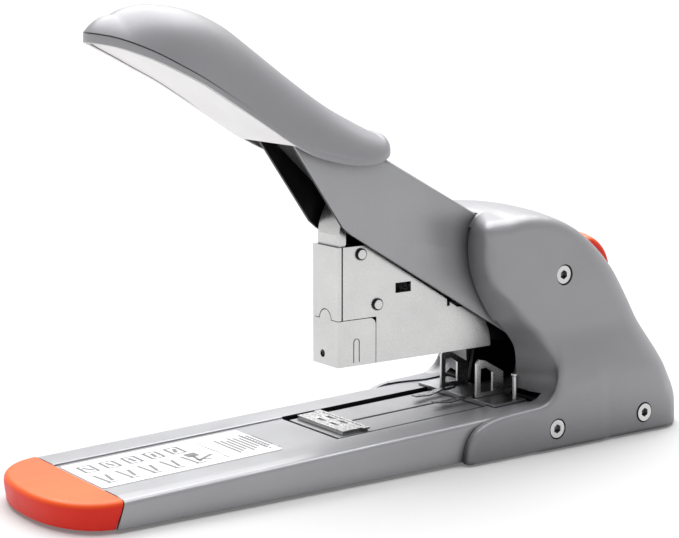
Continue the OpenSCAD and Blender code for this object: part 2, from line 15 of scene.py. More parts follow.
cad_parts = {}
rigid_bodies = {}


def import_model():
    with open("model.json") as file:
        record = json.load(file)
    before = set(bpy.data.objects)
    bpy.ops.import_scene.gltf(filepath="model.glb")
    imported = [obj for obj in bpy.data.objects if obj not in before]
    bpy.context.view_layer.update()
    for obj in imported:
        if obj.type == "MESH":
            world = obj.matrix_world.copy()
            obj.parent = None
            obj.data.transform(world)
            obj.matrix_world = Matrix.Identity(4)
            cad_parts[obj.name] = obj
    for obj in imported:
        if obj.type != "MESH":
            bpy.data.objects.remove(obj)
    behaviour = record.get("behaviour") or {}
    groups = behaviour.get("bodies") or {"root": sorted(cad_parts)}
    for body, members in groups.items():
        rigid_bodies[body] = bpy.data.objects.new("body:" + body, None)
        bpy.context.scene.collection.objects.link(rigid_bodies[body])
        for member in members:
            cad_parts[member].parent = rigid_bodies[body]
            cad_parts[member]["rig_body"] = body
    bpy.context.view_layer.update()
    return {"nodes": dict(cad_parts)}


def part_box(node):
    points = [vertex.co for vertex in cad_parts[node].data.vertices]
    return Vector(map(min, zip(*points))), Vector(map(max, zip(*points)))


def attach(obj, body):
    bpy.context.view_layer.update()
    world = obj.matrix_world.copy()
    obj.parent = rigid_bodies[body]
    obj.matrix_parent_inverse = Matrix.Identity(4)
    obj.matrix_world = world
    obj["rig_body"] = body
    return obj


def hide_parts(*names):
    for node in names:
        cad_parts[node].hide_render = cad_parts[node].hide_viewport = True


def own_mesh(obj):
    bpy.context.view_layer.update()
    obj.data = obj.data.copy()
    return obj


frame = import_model()

# ---- sizes shared with the CAD, in millimetres ------------------------------------------
MM = 0.001
NOSE_L = 24
BASE_H = 10.7
BASE_HALF = 37.5
BASE_T = 1.5
BASE_SLOPE = math.radians(2)
RECESS_HALF = 21
SEAM_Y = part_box("nose_cap")[0].y + NOSE_L * MM
EDGE_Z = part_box("base_channel")[0].z
HANDLE_PIVOT = (213, 72)
ARM_HALF = 13
ARM_T = 2
GRIP_HALF = 20.5
GRIP_T = 2.5
WALL = 2.5
SKIRT_HALF = 42
WAIST_HALF = 34
SLOT_HALF = 15.2
BUTTON_AT = (252.2, 73.6)
BUTTON_TILT = math.radians(-50)
LOWER_SCREWS = ((203.5, 8), (254.5, 8))
RIVETS = ((124.7, 85.6), (133, 64.1))
MAG_HALF = 8.9
MAG_FRONT = 113.3
DRAWER_TOP = 58.7
PLATE_FOOT, PLATE_TOP = 59, 89  # lower and upper edge of the front plate


# ---- outlines and distance fields -------------------------------------------------------

def row(points):
    """Millimetres from the seam datum as metres in the row frame."""
    return np.asarray(points, float) * MM + (0, SEAM_Y, EDGE_Z)


def on_top(points):
    """Millimetres in the frame of the sloping base top as datum millimetres."""
    x, y, z = np.asarray(points, float).T
    c, s = math.cos(BASE_SLOPE), math.sin(BASE_SLOPE)
    return np.column_stack([x, y * c - z * s, BASE_H + y * s + z * c])


def in_button_frame(points):
    """Millimetres in the button's own frame as datum millimetres."""
    x, y, z = np.asarray(points, float).T
    c, s = math.cos(BUTTON_TILT), math.sin(BUTTON_TILT)
    return np.column_stack([x, BUTTON_AT[0] + y * c - z * s, BUTTON_AT[1] + y * s + z * c])


def arc(centre, r, start, end, n=8):
    """Points on an arc, with angles in degrees."""
    a = np.radians(np.linspace(start, end, n + 1))
    return np.column_stack([centre[0] + r * np.cos(a), centre[1] + r * np.sin(a)])


def curve(p, q, r, s, n=10):
    """Points on a cubic curve between p and s, pulled by q and r."""
    t = np.linspace(0, 1, n + 1)[:, None]
    u = 1 - t
    return (u ** 3 * np.array(p, float) + 3 * u * u * t * np.array(q, float)
            + 3 * u * t * t * np.array(r, float) + t ** 3 * np.array(s, float))


def smoothstep(a, b, v):
    """Rises smoothly from 0 at a to 1 at b."""
    t = np.clip((v - a) / (b - a), 0, 1)
    return t * t * (3 - 2 * t)


def round_max(a, b, r):
    """Intersection of two distance fields with its edge rounded to radius r."""
    outside = np.hypot(np.maximum(a + r, 0), np.maximum(b + r, 0))
    return np.minimum(np.maximum(a, b), -r) + outside


def round_min(a, b, r):
    """Union of two distance fields with a fillet of radius r."""
    outside = np.hypot(np.maximum(r - a, 0), np.maximum(r - b, 0))
    return np.maximum(np.minimum(a, b), r) - outside


def through(points):
    """A smooth function through (input, output) points."""
    x, y = np.array(sorted(points), float).T
    slope = np.gradient(y, x)
    at = np.linspace(x[0], x[-1], 300)
    k = np.clip(np.searchsorted(x, at) - 1, 0, len(x) - 2)
    h = x[k + 1] - x[k]
    t = (at - x[k]) / h
    value = ((2 * t ** 3 - 3 * t ** 2 + 1) * y[k] + (t ** 3 - 2 * t ** 2 + t) * h * slope[k]
             + (3 * t ** 2 - 2 * t ** 3) * y[k + 1] + (t ** 3 - t ** 2) * h * slope[k + 1])
    return lambda q: np.interp(q, at, value)


class Outline:
    """Signed distance to a closed flat outline, kept on a fine grid."""

    def __init__(self, points, pitch=0.5):
        points = np.array(points, float)
        margin = 12
        self.low = points.min(0) - margin
        self.pitch = pitch
        size = np.ceil((points.max(0) + margin - self.low) / pitch).astype(int) + 1
        u, v = np.meshgrid(*(self.low[k] + pitch * np.arange(size[k]) for k in (0, 1)), indexing="ij")
        distance = np.full(u.shape, 1e9)
        inside = np.zeros(u.shape, bool)
        for a, b in zip(points, np.roll(points, -1, 0)):
            edge = b - a
            length = edge @ edge
            if length < 1e-9:
                continue
            t = np.clip(((u - a[0]) * edge[0] + (v - a[1]) * edge[1]) / length, 0, 1)
            distance = np.minimum(distance, np.hypot(u - a[0] - t * edge[0], v - a[1] - t * edge[1]))
            if edge[1]:
                crossing = (a[1] > v) != (b[1] > v)
                inside ^= crossing & (u < a[0] + (v - a[1]) * edge[0] / edge[1])
        self.distance = np.where(inside, -distance, distance)

    def __call__(self, u, v):
        d = self.distance
        i = np.clip((u - self.low[0]) / self.pitch, 0, d.shape[0] - 1.001)
        j = np.clip((v - self.low[1]) / self.pitch, 0, d.shape[1] - 1.001)
        a, b = i.astype(int), j.astype(int)
        s, t = i - a, j - b
        return ((1 - s) * (1 - t) * d[a, b] + s * (1 - t) * d[a + 1, b]
                + (1 - s) * t * d[a, b + 1] + s * t * d[a + 1, b + 1])


def skin(field, low, high, step):
    """Vertices and quads of the surface where field is zero, inside a box in millimetres."""
    axes = [np.arange(a, b + step, step) for a, b in zip(low, high)]
    grid = np.stack(np.meshgrid(*axes, indexing="ij"), -1)
    value = field(grid)
    shape = np.array(value.shape)
    cells = shape - 1
    total = np.zeros((*cells, 3))
    count = np.zeros(cells)
    corner = [slice(None, -1), slice(1, None)]
    for axis in range(3):
        others = [k for k in range(3) if k != axis]
        for i in (0, 1):
            for j in (0, 1):
                near = [None] * 3
                near[axis], near[others[0]], near[others[1]] = corner[0], corner[i], corner[j]
                far = list(near)
                far[axis] = corner[1]
                a, b = value[tuple(near)], value[tuple(far)]
                cut = (a < 0) != (b < 0)
                t = np.where(cut, a / np.where(cut, a - b, 1), 0)
                point = grid[tuple(near)] + (grid[tuple(far)] - grid[tuple(near)]) * t[..., None]
                total += np.where(cut[..., None], point, 0)
                count += cut
    used = count > 0
    number = np.full(cells, -1)
    number[used] = np.arange(used.sum())
    vertices = total[used] / count[used][:, None]
    quads = []
    for axis in range(3):
        b, c = (axis + 1) % 3, (axis + 2) % 3
        near = [slice(1, -1)] * 3
        near[axis] = slice(None, -1)
        far = list(near)
        far[axis] = slice(1, None)
        inside_near, inside_far = value[tuple(near)] < 0, value[tuple(far)] < 0
        at = np.argwhere(inside_near != inside_far)
        leaving = inside_near[tuple(at.T)]
        at[:, b] += 1
        at[:, c] += 1
        ring = []
        for db, dc in ((0, 0), (1, 0), (1, 1), (0, 1)):
            cell = at.copy()
            cell[:, b] -= db
            cell[:, c] -= dc
            ring.append(number[tuple(cell.T)])
        ring = np.column_stack(ring)
        quads.append(np.where(leaving[:, None], ring, ring[:, ::-1]))
    nudge = step / 8
    for _ in range(3):
        here = field(vertices)
        slope = np.column_stack([(field(vertices + nudge * e) - field(vertices - nudge * e)) / (2 * nudge)
                                 for e in np.eye(3)])
        move = here[:, None] * slope / np.maximum((slope ** 2).sum(1), 0.05)[:, None]
        vertices -= np.clip(move, -step / 2, step / 2)
    return vertices, np.vstack(quads)


# ---- mesh helpers -----------------------------------------------------------------------

def mesh_object(name, vertices, faces):
    """An object from datum millimetres, in the row frame's metres."""
    mesh = bpy.data.meshes.new(name)
    mesh.from_pydata(row(vertices).tolist(), [], [list(map(int, f)) for f in faces])
    mesh.validate()
    obj = bpy.data.objects.new(name, mesh)
    bpy.context.scene.collection.objects.link(obj)
    return obj


def outward(obj):
    """Merges double vertices and turns every face outwards."""
    work = bmesh.new()
    work.from_mesh(obj.data)
    bmesh.ops.remove_doubles(work, verts=work.verts, dist=1e-6)
    bmesh.ops.dissolve_degenerate(work, edges=work.edges, dist=1e-7)
    bmesh.ops.recalc_face_normals(work, faces=work.faces)
    work.to_mesh(obj.data)
    work.free()
    return obj


def solid(name, points, place=None):
    """A closed solid between two matching rings of points, listed one after the other."""
    n = len(points) // 2
    faces = [list(range(n))[::-1], list(range(n, 2 * n))]
    faces += [[k, (k + 1) % n, n + (k + 1) % n, n + k] for k in range(n)]
    return outward(mesh_object(name, place(points) if place else points, faces))


def prism(name, outline, low, high, place=None):
    """A side-view outline extruded along X from low to high."""
    return solid(name, [(x, y, z) for x in (low, high) for y, z in outline], place)


def block(name, low, high, place=None):
    """A box between two corners."""
    (x0, y0, z0), (x1, y1, z1) = low, high
    return prism(name, [(y0, z0), (y1, z0), (y1, z1), (y0, z1)], x0, x1, place)


def plan_prism(name, edge, low, high):
    """A plan-view outline, given as (x, y) points of its right half, raised from low to high."""
    loop = edge + [(-x, y) for x, y in edge[::-1]]
    return solid(name, [(x, y, z) for z in (low, high) for x, y in loop])


def both_sides(near, far):
    """The (low, high) spans along X from near to far, on the left and on the right."""
    return (-far, -near), (near, far)


def rod(name, at, r, low, high):
    """A round bar along X at a side-view point."""
    sides = 48
    return prism(name, arc(at, r, 0, 360 * (1 - 1 / sides), sides - 1), low, high)


def combine(obj, others, operation="DIFFERENCE"):
    """Cuts the others from obj, or joins them to it, and deletes them."""
    for other in others:
        modifier = obj.modifiers.new("cut", "BOOLEAN")
        modifier.operation = operation
        modifier.solver = "MANIFOLD"
        modifier.object = other
    apply_modifiers(obj)
    for other in others:
        bpy.data.objects.remove(other)
    return obj


def apply_modifiers(obj):
    """Replaces the object's mesh with the result of its modifiers."""
    graph = bpy.context.evaluated_depsgraph_get()
    graph.update()
    done = bpy.data.meshes.new_from_object(obj.evaluated_get(graph))
    obj.modifiers.clear()
    obj.data = done


def soften(obj, width):
    """Rounds the crisp edges by width in millimetres."""
    modifier = obj.modifiers.new("edges", "BEVEL")
    modifier.width = width * MM
    modifier.segments = 2
    modifier.limit_method = "ANGLE"
    modifier.angle_limit = math.radians(35)
    modifier.use_clamp_overlap = True
    weighted = obj.modifiers.new("normals", "WEIGHTED_NORMAL")
    weighted.keep_sharp = True


def finish(obj, body, look, nodes=(), sharp=35):
    """Shades a new piece, gives it its material and sets it in place of its CAD nodes."""
    obj.data.polygons.foreach_set("use_smooth", [True] * len(obj.data.polygons))
    obj.data.set_sharp_from_angle(angle=math.radians(sharp))
    obj.data.materials.clear()
    obj.data.materials.append(look)
    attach(obj, body)
    if nodes:
        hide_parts(*nodes)
    return obj


def carry(node, look, width=0.2):
    """Keeps a CAD node, with clean edges and a finished material."""
    obj = frame["nodes"][node]
    if "custom_normal" in obj.data.attributes:
        obj.data.attributes.remove(obj.data.attributes["custom_normal"])
    obj.data.polygons.foreach_set("use_smooth", [True] * len(obj.data.polygons))
    weld = obj.modifiers.new("weld", "WELD")
    weld.merge_threshold = 1e-6
    flat = obj.modifiers.new("flat", "DECIMATE")
    flat.decimate_type = "DISSOLVE"
    flat.angle_limit = math.radians(1.5)
    flat.delimit = {"MATERIAL"}
    soften(obj, width)
    split = obj.modifiers.new("split", "EDGE_SPLIT")
    split.split_angle = math.radians(50)
    split.use_edge_sharp = False
    obj.data.materials.clear()
    obj.data.materials.append(look)


def tube(name, path, radius):
    """A round wire of the given radius along a path in millimetres."""
    sides = 10
    path = np.asarray(path, float)
    tangent = np.gradient(path, axis=0)
    tangent /= np.linalg.norm(tangent, axis=1)[:, None]
    normal = np.cross(tangent[0], (0.31, 0.52, 0.79))
    rings = []
    for point, along in zip(path, tangent):
        normal = normal - along * (normal @ along)
        normal /= np.linalg.norm(normal)
        side = np.cross(along, normal)
        a = np.linspace(0, 2 * math.pi, sides, endpoint=False)[:, None]
        rings.append(point + radius * (np.cos(a) * normal + np.sin(a) * side))
    n = len(rings)
    faces = [[i * sides + k, i * sides + (k + 1) % sides, (i + 1) * sides + (k + 1) % sides,
              (i + 1) * sides + k] for i in range(n - 1) for k in range(sides)]
    faces += [list(range(sides))[::-1], list(range((n - 1) * sides, n * sides))]
    return outward(mesh_object(name, np.vstack(rings), faces))


# ---- materials --------------------------------------------------------------------------

class Look:
    """A node material in object space, with small helpers for its noise."""

    def __init__(self, name, roughness, metallic=0.0):
        self.material = bpy.data.materials.new(name)
        self.material.use_nodes = True
        self.tree = self.material.node_tree
        self.shader = self.tree.nodes["Principled BSDF"]
        self.shader.inputs["Metallic"].default_value = metallic
        self.shader.inputs["Roughness"].default_value = roughness
        self.place = self.add("ShaderNodeTexCoord").outputs["Object"]

    def add(self, kind, **values):
        node = self.tree.nodes.new(kind)
        for key, value in values.items():
            setattr(node, key, value)
        return node

    def link(self, source, target):
        self.tree.links.new(source, target)

    def noise(self, scale, detail=3.0, stretch=(1, 1, 1), roughness=0.5):
        """Noise with features about 1/scale metres wide, stretched per axis."""
        mapping = self.add("ShaderNodeMapping")
        mapping.inputs["Scale"].default_value = stretch
        self.link(self.place, mapping.inputs["Vector"])
        noise = self.add("ShaderNodeTexNoise")
        noise.inputs["Scale"].default_value = scale
        noise.inputs["Detail"].default_value = detail
        noise.inputs["Roughness"].default_value = roughness
        self.link(mapping.outputs["Vector"], noise.inputs["Vector"])
        return noise.outputs["Fac"]

    def range(self, source, low, high, start=0.3, end=0.7):
        """Source between start and end, spread from low to high."""
        spread = self.add("ShaderNodeMapRange")
        for name, value in (("From Min", start), ("From Max", end), ("To Min", low), ("To Max", high)):
            spread.inputs[name].default_value = value
        self.link(source, spread.inputs["Value"])
        return spread.outputs["Result"]

    def colours(self, source, dark, light, start=0.3, end=0.7):
        """A colour between dark and light that follows the source."""
        ramp = self.add("ShaderNodeValToRGB")
        ramp.color_ramp.elements[0].position = start
        ramp.color_ramp.elements[1].position = end
        ramp.color_ramp.elements[0].color = (*dark, 1)
        ramp.color_ramp.elements[1].color = (*light, 1)
        self.link(source, ramp.inputs["Fac"])
        return ramp.outputs["Color"]

    def mix(self, factor, first, second):
        """Second over first where factor is 1."""
        mixed = self.add("ShaderNodeMix", data_type="RGBA")
        self.link(factor, mixed.inputs["Factor"])
        for value, name in ((first, "A"), (second, "B")):
            socket = [s for s in mixed.inputs if s.name == name and s.type == "RGBA"][0]
            if isinstance(value, tuple):
                socket.default_value = (*value, 1)
            else:
                self.link(value, socket)
        return [s for s in mixed.outputs if s.type == "RGBA"][0]

    def painted_hollow_shade(self, reach, dark, colour, start=0.25, end=0.8):
        """The colour with painted shade, darkened in hollows narrower than about reach millimetres."""
        hollow = self.add("ShaderNodeAmbientOcclusion", samples=6)
        hollow.inputs["Distance"].default_value = reach * MM
        return self.mix(self.range(hollow.outputs["AO"], 0, 1, start, end), dark, colour)

    def bump(self, *layers):
        """Layers of (height source, depth in millimetres)."""
        last = None
        for height, depth in layers:
            bump = self.add("ShaderNodeBump")
            bump.inputs["Strength"].default_value = 1.0
            bump.inputs["Distance"].default_value = depth * MM
            self.link(height, bump.inputs["Height"])
            if last is not None:
                self.link(last, bump.inputs["Normal"])
            last = bump.outputs["Normal"]
        self.link(last, self.shader.inputs["Normal"])

    def colour(self, source):
        self.link(source, self.shader.inputs["Base Color"])

    def rough(self, source):
        self.link(source, self.shader.inputs["Roughness"])

    def set(self, **values):
        for key, value in values.items():
            self.shader.inputs[key.replace("_", " ")].default_value = value
        return self


def satin_paint(name, dark, light, roughness=0.36, shade_reach=10, coat=0.3):
    """Silver-grey stoved paint: fine sparkle and faint orange peel."""
    look = Look(name, roughness, 0.25)
    look.set(Coat_Weight=coat, Coat_Roughness=0.25)
    sparkle = look.noise(5200, 1.0)
    tone = look.colours(look.noise(9, 3.0), dark, light, 0.35, 0.65)
    fine = look.mix(look.range(sparkle, 0, 0.22, 0.45, 0.8), tone, tuple(min(1, c * 1.7) for c in light))
    # Painted shade: the colour darkens in hollows narrower than the given reach.
    look.colour(look.painted_hollow_shade(shade_reach, tuple(c * 0.12 for c in dark), fine))
    look.rough(look.range(look.noise(60, 4.0), roughness - 0.05, roughness + 0.06))
    look.bump((look.noise(380, 2.0), 0.006), (sparkle, 0.0012))
    return look.material


def moulded(name, dark, light, roughness):
    """Injection-moulded plastic with a fine spark-eroded grain."""
    look = Look(name, roughness)
    look.colour(look.colours(look.noise(14, 3.0), dark, light, 0.35, 0.65))
    look.rough(look.range(look.noise(140, 3.0), roughness - 0.05, roughness + 0.07))
    look.bump((look.noise(1500, 2.0), 0.01), (look.noise(90, 2.0), 0.008))
    return look.material


def orange_with_painted_top_light(name):
    """Orange plastic whose colour goes from deep red on upright faces to paler on upward ones.

    The paler tops are painted light falling from above, so the colour follows the way a face points.
    """
    look = Look(name, 0.4)
    look.set(Specular_IOR_Level=0.3)
    split = look.add("ShaderNodeSeparateXYZ")
    look.link(look.add("ShaderNodeNewGeometry").outputs["Normal"], split.inputs["Vector"])
    wall = look.colours(look.noise(14, 3.0), (0.70, 0.012, 0.002), (0.76, 0.02, 0.004), 0.35, 0.65)
    top = look.colours(look.noise(14, 3.0), (0.80, 0.11, 0.014), (0.85, 0.14, 0.02), 0.35, 0.65)
    look.colour(look.mix(look.range(split.outputs["Z"], 0, 1, 0.1, 0.9), wall, top))
    look.rough(look.range(look.noise(140, 3.0), 0.36, 0.46))
    look.bump((look.noise(1500, 2.0), 0.006), (look.noise(90, 2.0), 0.008))
    return look.material


def bare_metal(name, dark, light, roughness, stretch=(1, 1, 14), scale=900):
    """Plated or bare steel: rolled streaks along one axis and a few faint smears."""
    look = Look(name, roughness, 1.0)
    streak = look.noise(scale, 3.0, stretch)
    tone = look.colours(look.noise(45, 4.0), dark, light, 0.3, 0.7)
    # Painted shade: the colour darkens in gaps narrower than about 1.2 mm.
    look.colour(look.painted_hollow_shade(1.2, tuple(c * 0.08 for c in dark), tone))
    look.rough(look.range(streak, roughness - 0.04, roughness + 0.08))
    look.bump((streak, 0.0012), (look.noise(70, 2.0), 0.006))
    return look.material


def printed(name):
    """Matt label stock with a faint paper fibre."""
    look = Look(name, 0.5)
    look.colour(look.colours(look.noise(300, 4.0), (0.80, 0.80, 0.81), (0.86, 0.86, 0.86)))
    look.bump((look.noise(1800, 3.0), 0.004))
    return look.material


def rubber(name):
    """Matt black rubber."""
    look = Look(name, 0.75)
    look.colour(look.colours(look.noise(160, 4.0), (0.018, 0.018, 0.019), (0.034, 0.034, 0.035)))
    look.bump((look.noise(1100, 3.0), 0.02))
    return look.material


# Both paints carry painted shade in their hollows: about 10 mm reach for the base and arm paint, 34 mm for
# the housing shell.
PAINT = satin_paint("satin_grey_paint", (0.32, 0.32, 0.335), (0.36, 0.36, 0.375))
SHELL = satin_paint("satin_grey_shell", (0.27, 0.265, 0.28), (0.30, 0.295, 0.31), 0.45, 34, 0.15)
ORANGE = orange_with_painted_top_light("orange_plastic")
PALE = moulded("pale_plastic", (0.74, 0.74, 0.745), (0.80, 0.80, 0.80), 0.42)
DARK = moulded("dark_plastic", (0.012, 0.012, 0.013), (0.02, 0.02, 0.021), 0.38)
NICKEL = bare_metal("nickel_plate", (0.55, 0.55, 0.548), (0.63, 0.63, 0.625), 0.27)
ZINC = bare_metal("zinc_plate", (0.34, 0.345, 0.36), (0.46, 0.465, 0.48), 0.32)
SPRING = bare_metal("spring_steel", (0.2, 0.2, 0.21), (0.32, 0.32, 0.33), 0.26, (1, 1, 1))
BLACK = bare_metal("blackened_steel", (0.022, 0.022, 0.024), (0.04, 0.04, 0.042), 0.4)
WIRE = bare_metal("staple_wire", (0.5, 0.5, 0.51), (0.6, 0.6, 0.61), 0.25, (1, 20, 1), scale=300)
BRASS = bare_metal("bush_brass", (0.56, 0.40, 0.17), (0.66, 0.49, 0.22), 0.3, (1, 1, 1))
LABEL = printed("label_stock")
INK = moulded("label_ink", (0.14, 0.145, 0.15), (0.2, 0.2, 0.21), 0.5)
RUBBER = rubber("foot_rubber")


# ---- housing ----------------------------------------------------------------------------

def housing_fields():
    """Distance fields of the housing body and of its whole outer surface."""
    ridge = Outline(np.vstack([
        [[140, 99]], curve([150, 99], [158, 99], [170, 99.4], [184, 99.7], 6),
        curve([184, 99.7], [202.5, 103.6], [222.8, 96.2], [237.8, 84.1])[1:],
        curve([237.8, 84.1], [252.8, 72], [255.9, 64.2], [270, 39])[1:],
        curve([270, 39], [284.1, 13.8], [285.6, 21.6], [286, 0])[1:],
        [[286, -30], [140, -30]]]))
    toe = Outline(np.vstack([
        [[225, -8], [155.6, -8]], curve([155.6, 1], [156.2, 12], [163, 16.4], [178, 17.4]),
        [[200, 18.6], [225, 23]]]))
    outer_front = through([(105, 169.3), (95.4, 169.7), (88, 171), (76.6, 172), (69, 176), (62, 184),
                           (52.4, 193.7), (46, 201), (40, 204.8), (32, 207.2), (25, 208.5), (0, 206)])
    inner_front = through([(105, 181), (97.6, 179.8), (91.6, 176.4), (83, 175.5), (72, 177.7), (62, 182.4),
                           (53, 188.6), (46, 194.9), (40, 199.2), (35, 200.3), (30, 200.6), (0, 206)])

    def body(p):
        x, y, z = np.abs(p[..., 0]), p[..., 1], p[..., 2]
        flare = smoothstep(50, 24, z)
        flank = (x - WAIST_HALF - (SKIRT_HALF - WAIST_HALF) * flare) * 0.95
        rear = smoothstep(205, 250, y) * smoothstep(38, 66, z)
        crown = (3 * smoothstep(30, 85, z) + 4 * rear) * (x / 33) ** 2 - 1.2 * rear
        edge = 22 - 17 * np.clip((z - 15) / 75, 0, 1)
        shape = round_max(flank, ridge(y, z) + crown, edge)
        across = np.clip((x - 15) / 18, 0, 1.25)
        fender = 7 * smoothstep(34, 42, x) * smoothstep(48, 26, z)
        front = inner_front(z) + (outer_front(z) - inner_front(z)) * across - fender
        return round_max(shape, (front - y) * 0.9, 4)

    def whole(p):
        x, y, z = np.abs(p[..., 0]), p[..., 1], p[..., 2]
        leaf = round_max(x - SKIRT_HALF, toe(y, z), 2.5)
        shape = round_max(round_min(body(p), leaf, 10), x - SKIRT_HALF, 2)
        return round_max(shape, -0.6 - z, 0.4)

    def cavity(p):
        return np.maximum(body(p) + WALL, -3 - p[..., 2])

    return whole, cavity


def make_housing():
    """A thin shell with the arm's slot, room for the base and recesses for the screws."""
    step = 0.9
    whole, cavity = housing_fields()
    shell = outward(mesh_object("housing_shell", *skin(whole, (-45, 152, -3), (45, 290, 104), step)))
    inner = outward(mesh_object("inner", *skin(cavity, (-42, 168, -6), (42, 288, 102), step * 1.5)))
    combine(shell, [inner])
    bosses = [rod("boss", HANDLE_PIVOT, 8, s * 29 - 4, s * 29 + 3.6) for s in (-1, 1)]
    combine(shell, bosses, "UNION")
    slot = [(140, 10), (205, 10), (205, 60), (197, 93), (140, 93)]
    slot_top = [(140, 88), (197, 88), (197, 90.3), (179.4, 99.8), (179.4, 110), (140, 110)]
    base_room = [(140, -5), (140, 15.8), (268.5, 20.36), (268.5, -5)]
    mouth = [(37.8, 150), (37.8, 168), (36.6, 176), (33.6, 184), (29.4, 193), (26, 202)]
    cutters = [
        prism("slot", slot, -SLOT_HALF, SLOT_HALF),
        prism("slot", slot_top, -ARM_HALF - 0.35, ARM_HALF + 0.35),
        block("room", (-17, 190, 10), (17, 216, 64)),
        block("deck", (-31, 190, 10), (31, 216, 21.4)),
        prism("base_room", base_room, -BASE_HALF - 0.3, BASE_HALF + 0.3),
        prism("base_end", [(268, -5), (268, 20.34), (272.5, 20.5), (272.5, -5)], -34.6, 34.6),
        plan_prism("mouth", mouth, 10, 27),
        block("button_hole", (-12.4, -10.4, -9), (12.4, 10.4, 9), in_button_frame),
    ]
    cutters += [rod("recess", HANDLE_PIVOT, 4.5, *span) for span in both_sides(30.6, 40)]
    cutters += [rod("recess", at, 4.5, *span) for at in LOWER_SCREWS for span in both_sides(39, 46)]
    combine(shell, cutters)
    finish(shell, "base", SHELL, ["housing"], sharp=40)


make_housing()


# ---- nose cap and release button --------------------------------------------------------

def make_nose():
    """The hollow cap over the front end of the base, with two tabs that reach under it."""
    power = 2.25
    wall = 2.2
    a = np.linspace(-math.pi / 2, math.pi / 2, 49)
    rim = np.column_stack([BASE_HALF * np.sign(np.sin(a)) * np.abs(np.sin(a)) ** (2 / power),
                           -NOSE_L * np.abs(np.cos(a)) ** (2 / power)])
    plan = Outline(np.vstack([rim, [[BASE_HALF, 3], [-BASE_HALF, 3]]]), 0.25)

    def field(p):
        x, y, z = p[..., 0], p[..., 1], p[..., 2]
        side = plan(x, y) + 0.7 * smoothstep(7, 0, z)
        top = (z - BASE_H - y * math.tan(BASE_SLOPE)) * math.cos(BASE_SLOPE)
        return round_max(round_max(side, top, 2.4), -z, 0.5)

    step = 0.55
    cap = outward(mesh_object("nose_cap_shell", *skin(field, (-40, -26, -2), (40, 6, 13), step)))
    narrow, shorten = (BASE_HALF - wall) / BASE_HALF, (NOSE_L - wall) / NOSE_L
    edge = np.vstack([rim, [[BASE_HALF, 6], [-BASE_HALF, 6]]])
    hollow = solid("hollow", [(x * narrow, y * shorten + (0.4 if y > -0.5 else 0), z)
                              for z in (-3, 8.1) for x, y in edge])
    seam = [(-4.9, -3), (-0.6, BASE_H), (-0.6, BASE_H + 3), (12, BASE_H + 3), (12, -3)]
    combine(cap, [hollow, prism("seam", seam, -50, 50)])
    tabs = [block("tab", (s * 28 - 5, -6, 4), (s * 28 + 5, 12, 8.6)) for s in (-1, 1)]
    combine(cap, tabs, "UNION")
    finish(cap, "base", ORANGE, ["nose_cap"])


def make_button():
    """The domed release button on its round stem."""
    def field(p):
        x, y, z = p[..., 0], p[..., 1], p[..., 2]
        side = round_max(np.abs(x) - 12, np.abs(y) - 10, 3)
        dome = (z - 7.4 + x ** 2 / 60 + y ** 2 / 34) * 0.92
        return round_max(round_max(side, dome, 1.6), -6 - z, 0.5)

    vertices, quads = skin(field, (-14, -12, -8), (14, 12, 9.4), 0.45)
    button = outward(mesh_object("button_cap", in_button_frame(vertices), quads))
    ring = arc((0, 0), 2.8, 0, 348.75, 31)
    stem = solid("stem", [(x, y, z) for z in (-27, -5.5) for x, y in ring], in_button_frame)
    combine(button, [stem], "UNION")
    finish(button, "button", ORANGE, ["release_button"])


make_nose()
make_button()


# ---- grip -------------------------------------------------------------------------------

GRIP_TIP, GRIP_REAR, GRIP_SPINE = 7.6, 139.8, (18, 133)
GRIP_BEND = 116  # where the straight sides start to round off towards the rear
grip_rim = through([(7.6, 173.2), (13, 171.9), (20, 169.4), (27, 166.5), (36, 162.2), (46, 157.2),
                    (55, 151.8), (64, 146.2), (75.5, 139), (82.4, 134.6), (89.2, 130.9), (96, 127.6),
                    (105, 124.9), (114, 123.2), (121, 122.8), (128, 123.5), (134, 125), (140, 126.6)])
grip_ridge = through([(16, 182), (20, 184.3), (28, 186.6), (38, 186.5), (50, 184.4), (62, 179.4),
                      (76, 169.9), (93, 157.8), (110, 146.5), (124, 139.1), (130, 136.2), (134, 134.4)])


def grip_outline(inset=0.0):
    """Plan points around the grip, from the tip along +X to the rear and back along -X."""
    n = 28
    half, tip, rear = GRIP_HALF - inset, GRIP_TIP + inset, GRIP_REAR - inset
    t = np.linspace(0, math.pi / 2, n + 1)
    front = np.column_stack([half * np.sin(t), tip + 36 * (1 - np.cos(t))])
    side = np.column_stack([np.full(n, half), np.linspace(tip + 36, GRIP_BEND, n + 1)[1:]])
    back = np.column_stack([half * np.cos(t) ** 0.8, GRIP_BEND + (rear - GRIP_BEND) * np.sin(t) ** 0.8])[1:]
    right = np.vstack([front, side, back])
    return np.vstack([right, (right * (-1, 1))[-2:0:-1]])


def grip_rings(inset, lift, rings):
    """Rings of the dome over the grip's outline, from its lower edge to the ridge."""
    plan = grip_outline(inset)
    x, y = plan.T
    low, high = GRIP_SPINE
    spine = np.clip(y, low, high)
    start = grip_rim(y) + lift(y)
    top = grip_ridge(spine) - inset
    lean = 0.15 + 0.75 * smoothstep(44, 9, y)
    out = []
    blunt = smoothstep(131, 139.5, y)
    for t in np.linspace(0, 1, rings):
        turn = lean + (math.pi / 2 - lean) * t
        reach = np.clip(np.cos(turn) / np.cos(lean), 0, 1) ** (1 - 0.3 * blunt)
        rise = ((np.sin(turn) - np.sin(lean)) / (1 - np.sin(lean))) ** (1 - 0.1 * blunt)
        out.append(np.column_stack([x * reach, spine + (y - spine) * reach, start + (top - start) * rise]))
    return out


